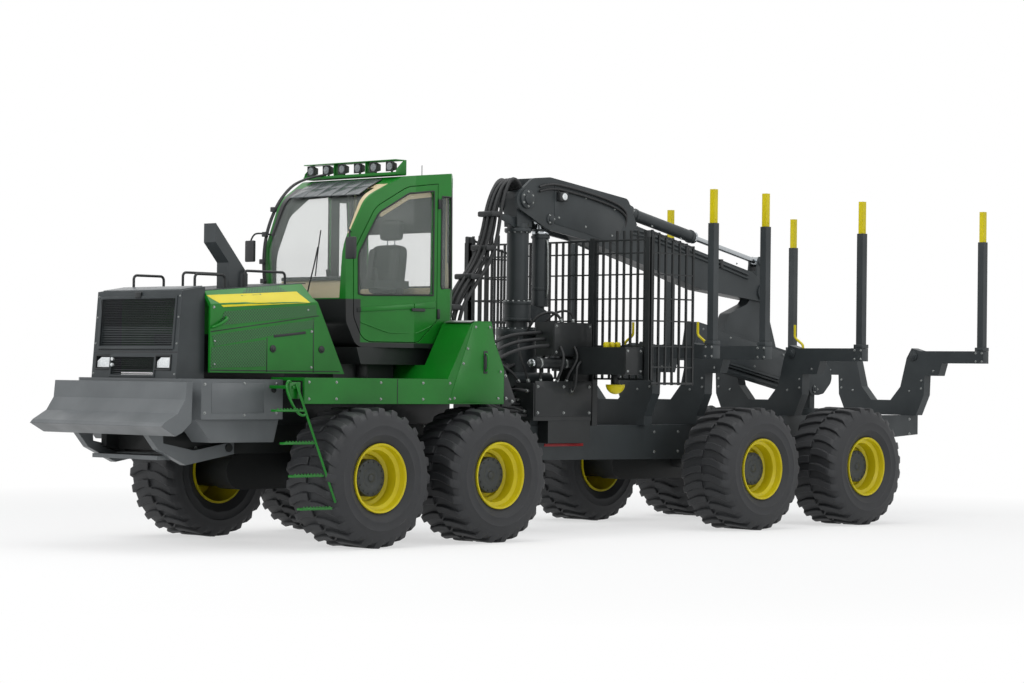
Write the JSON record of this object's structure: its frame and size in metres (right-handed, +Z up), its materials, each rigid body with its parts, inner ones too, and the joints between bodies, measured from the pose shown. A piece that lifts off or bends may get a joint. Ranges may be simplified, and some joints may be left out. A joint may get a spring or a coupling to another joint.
{
  "type": "forestry forwarder",
  "caption": "Articulated eight-wheel forestry forwarder with a cab, front blade, folding loader crane, headboard gate and a load bed with upright stakes.",
  "frame": {"origin": "on the ground, below the middle of the overall length and on the machine's middle plane", "axes": "+X towards the blade at the front, +Y to the machine's left where the ladder and cab door are, +Z up"},
  "size_m": [12.369, 3.1345, 3.8566],
  "materials": {
    "green_paint": "gloss paint",
    "grey_paint": "satin paint",
    "black_paint": "satin paint",
    "yellow_paint": "gloss paint",
    "tyre_rubber": "matt rubber",
    "steel_rod": "polished",
    "window_glass": "clear",
    "seat_fabric": "woven",
    "trim_plastic": "grained",
    "lamp_lens": "clear moulded"
  },
  "bodies": {
    "front_chassis": {"front_frame": "black_paint", "front_axle": "black_paint", "engine_block": "black_paint", "nose_body": "grey_paint", "grille_housing": "grey_paint", "hood": "green_paint", "exhaust_stack": "grey_paint", "hood_rails": "black_paint", "side_decks": "green_paint", "rear_cowl": "green_paint", "ladder": "green_paint", "cab_base": "black_paint", "cab_shell": "green_paint", "cab_glass": "window_glass", "seat": "seat_fabric", "console": "trim_plastic", "lamps": "lamp_lens"},
    "rear_chassis": {"rear_frame": "grey_paint", "rear_axle": "black_paint", "bunks": "grey_paint", "stakes": "grey_paint", "stake_tips": "yellow_paint", "gate": "black_paint", "crane_base": "grey_paint", "hydraulic_boxes": "black_paint"},
    "cab_door": {"door_frame": "green_paint", "door_glass": "window_glass"},
    "blade": {"blade": "grey_paint"},
    "crane_column": {"crane_column": "grey_paint"},
    "main_boom": {"main_boom": "grey_paint"},
    "lift_barrel": {"lift_barrel": "grey_paint"},
    "lift_rod": {"lift_rod": "steel_rod"},
    "outer_boom": {"outer_boom": "grey_paint"},
    "jib_barrel": {"jib_barrel": "grey_paint"},
    "jib_rod": {"jib_rod": "steel_rod"},
    "extension": {"extension": "grey_paint"},
    "tip_link": {"tip_link": "grey_paint"},
    "grapple_head": {"grapple_head": "grey_paint"},
    "jaw_front": {"jaw_front": "grey_paint"},
    "jaw_rear": {"jaw_rear": "grey_paint"},
    "steering_barrel_left": {"steering_barrel_left": "black_paint"},
    "steering_rod_left": {"steering_rod_left": "steel_rod"},
    "steering_barrel_right": {"steering_barrel_right": "black_paint"},
    "steering_rod_right": {"steering_rod_right": "steel_rod"},
    "wheel_1_left": {"tyre_1_left": "tyre_rubber", "rim_1_left": "yellow_paint"},
    "wheel_1_right": {"tyre_1_right": "tyre_rubber", "rim_1_right": "yellow_paint"},
    "wheel_2_left": {"tyre_2_left": "tyre_rubber", "rim_2_left": "yellow_paint"},
    "wheel_2_right": {"tyre_2_right": "tyre_rubber", "rim_2_right": "yellow_paint"},
    "wheel_3_left": {"tyre_3_left": "tyre_rubber", "rim_3_left": "yellow_paint"},
    "wheel_3_right": {"tyre_3_right": "tyre_rubber", "rim_3_right": "yellow_paint"},
    "wheel_4_left": {"tyre_4_left": "tyre_rubber", "rim_4_left": "yellow_paint"},
    "wheel_4_right": {"tyre_4_right": "tyre_rubber", "rim_4_right": "yellow_paint"}
  },
  "joints": [
    {"name": "articulation", "type": "hinge", "parent": "front_chassis", "child": "rear_chassis", "pos_m": [1.1, 0, 1.055], "axis": [0, 0, 1], "range_deg": [-40, 40]},
    {"name": "cab_door", "type": "hinge", "parent": "front_chassis", "child": "cab_door", "pos_m": [2.43, 0.83, 2.8], "axis": [0, 0, 1], "range_deg": [0, 70]},
    {"name": "blade_lower", "type": "hinge", "parent": "front_chassis", "child": "blade", "pos_m": [4.98, 0, 0.96], "axis": [0, 1, 0], "range_deg": [0, 60]},
    {"name": "crane_slew", "type": "hinge", "parent": "rear_chassis", "child": "crane_column", "pos_m": [0.463, 0, 2.3], "axis": [0, 0, 1], "range_deg": [-1.5, 1.5]},
    {"name": "boom_lift", "type": "hinge", "parent": "crane_column", "child": "main_boom", "pos_m": [0.48, 0, 3.6], "axis": [0, -1, 0], "range_deg": [-60, 0]},
    {"name": "outer_boom_fold", "type": "hinge", "parent": "main_boom", "child": "outer_boom", "pos_m": [-3.583, 0, 2.7], "axis": [0, -1, 0], "range_deg": [-30, 0]},
    {"name": "extension_slide", "type": "slide", "parent": "outer_boom", "child": "extension", "axis": [0.9823, 0, 0.1874], "range_m": [-0.9, 0]},
    {"name": "tip_swing", "type": "hinge", "parent": "extension", "child": "tip_link", "pos_m": [-4.62, 0, 1.56], "axis": [0, 1, 0], "range_deg": [-30, 30]},
    {"name": "rotator", "type": "hinge", "parent": "tip_link", "child": "grapple_head", "pos_m": [-4.62, 0, 1.33], "axis": [0, 0, 1], "continuous": true},
    {"name": "jaw_front", "type": "hinge", "parent": "grapple_head", "child": "jaw_front", "pos_m": [-4.525, 0, 1.06], "axis": [0, -1, 0], "range_deg": [0, 55]},
    {"name": "jaw_rear", "type": "hinge", "parent": "grapple_head", "child": "jaw_rear", "pos_m": [-4.715, 0, 1.06], "axis": [0, 1, 0], "range_deg": [0, 55]},
    {"name": "steering_barrel_left", "type": "hinge", "parent": "front_chassis", "child": "steering_barrel_left", "pos_m": [2.05, 0.3, 1.055], "axis": [0, 0, 1], "range_deg": [-1.54, 1.54]},
    {"name": "steering_rod_left", "type": "slide", "parent": "steering_barrel_left", "child": "steering_rod_left", "axis": [-1, 0, 0], "range_m": [-0.2047, 0.2047]},
    {"name": "steering_barrel_right", "type": "hinge", "parent": "front_chassis", "child": "steering_barrel_right", "pos_m": [2.05, -0.3, 1.055], "axis": [0, 0, 1], "range_deg": [-1.54, 1.54]},
    {"name": "steering_rod_right", "type": "slide", "parent": "steering_barrel_right", "child": "steering_rod_right", "axis": [-1, 0, 0], "range_m": [-0.2047, 0.2047]},
    {"name": "lift_barrel", "type": "hinge", "parent": "crane_column", "child": "lift_barrel", "pos_m": [0.11, 0, 2.33], "axis": [0, 1, 0], "range_deg": [-2.3, 0.5]},
    {"name": "lift_rod", "type": "slide", "parent": "lift_barrel", "child": "lift_rod", "axis": [0, 0, 1], "range_m": [-0.005, 0.4294]},
    {"name": "jib_barrel", "type": "hinge", "parent": "main_boom", "child": "jib_barrel", "pos_m": [-1.23, 0, 3.56], "axis": [0, 1, 0], "range_deg": [-2.21, 0.5]},
    {"name": "jib_rod", "type": "slide", "parent": "jib_barrel", "child": "jib_rod", "axis": [-0.9793, 0, -0.2025], "range_m": [-0.1841, 0.005]},
    {"name": "wheel_1_left", "type": "hinge", "parent": "front_chassis", "child": "wheel_1_left", "pos_m": [3.867, 1.215, 0.68], "axis": [0, 1, 0], "continuous": true},
    {"name": "wheel_1_right", "type": "hinge", "parent": "front_chassis", "child": "wheel_1_right", "pos_m": [3.867, -1.215, 0.68], "axis": [0, 1, 0], "continuous": true},
    {"name": "wheel_2_left", "type": "hinge", "parent": "front_chassis", "child": "wheel_2_left", "pos_m": [2.233, 1.215, 0.68], "axis": [0, 1, 0], "continuous": true},
    {"name": "wheel_2_right", "type": "hinge", "parent": "front_chassis", "child": "wheel_2_right", "pos_m": [2.233, -1.215, 0.68], "axis": [0, 1, 0], "continuous": true},
    {"name": "wheel_3_left", "type": "hinge", "parent": "rear_chassis", "child": "wheel_3_left", "pos_m": [-1.8945, 1.215, 0.68], "axis": [0, 1, 0], "continuous": true},
    {"name": "wheel_3_right", "type": "hinge", "parent": "rear_chassis", "child": "wheel_3_right", "pos_m": [-1.8945, -1.215, 0.68], "axis": [0, 1, 0], "continuous": true},
    {"name": "wheel_4_left", "type": "hinge", "parent": "rear_chassis", "child": "wheel_4_left", "pos_m": [-3.7755, 1.215, 0.68], "axis": [0, 1, 0], "continuous": true},
    {"name": "wheel_4_right", "type": "hinge", "parent": "rear_chassis", "child": "wheel_4_right", "pos_m": [-3.7755, -1.215, 0.68], "axis": [0, 1, 0], "continuous": true}
  ],
  "couplings": [
    {"joint": "jaw_rear", "follows": "jaw_front", "ratio": 1},
    {"joint": "steering_barrel_left", "follows": "articulation", "ratio": 0.02596},
    {"joint": "steering_rod_left", "follows": "articulation", "m_per_rad": 0.28612},
    {"joint": "steering_barrel_right", "follows": "articulation", "ratio": 0.02596},
    {"joint": "steering_rod_right", "follows": "articulation", "m_per_rad": -0.28612},
    {"joint": "lift_barrel", "follows": "boom_lift", "ratio": 0.02997},
    {"joint": "lift_rod", "follows": "boom_lift", "m_per_rad": -0.40528},
    {"joint": "jib_barrel", "follows": "outer_boom_fold", "ratio": 0.05688},
    {"joint": "jib_rod", "follows": "outer_boom_fold", "m_per_rad": 0.34196}
  ]
}
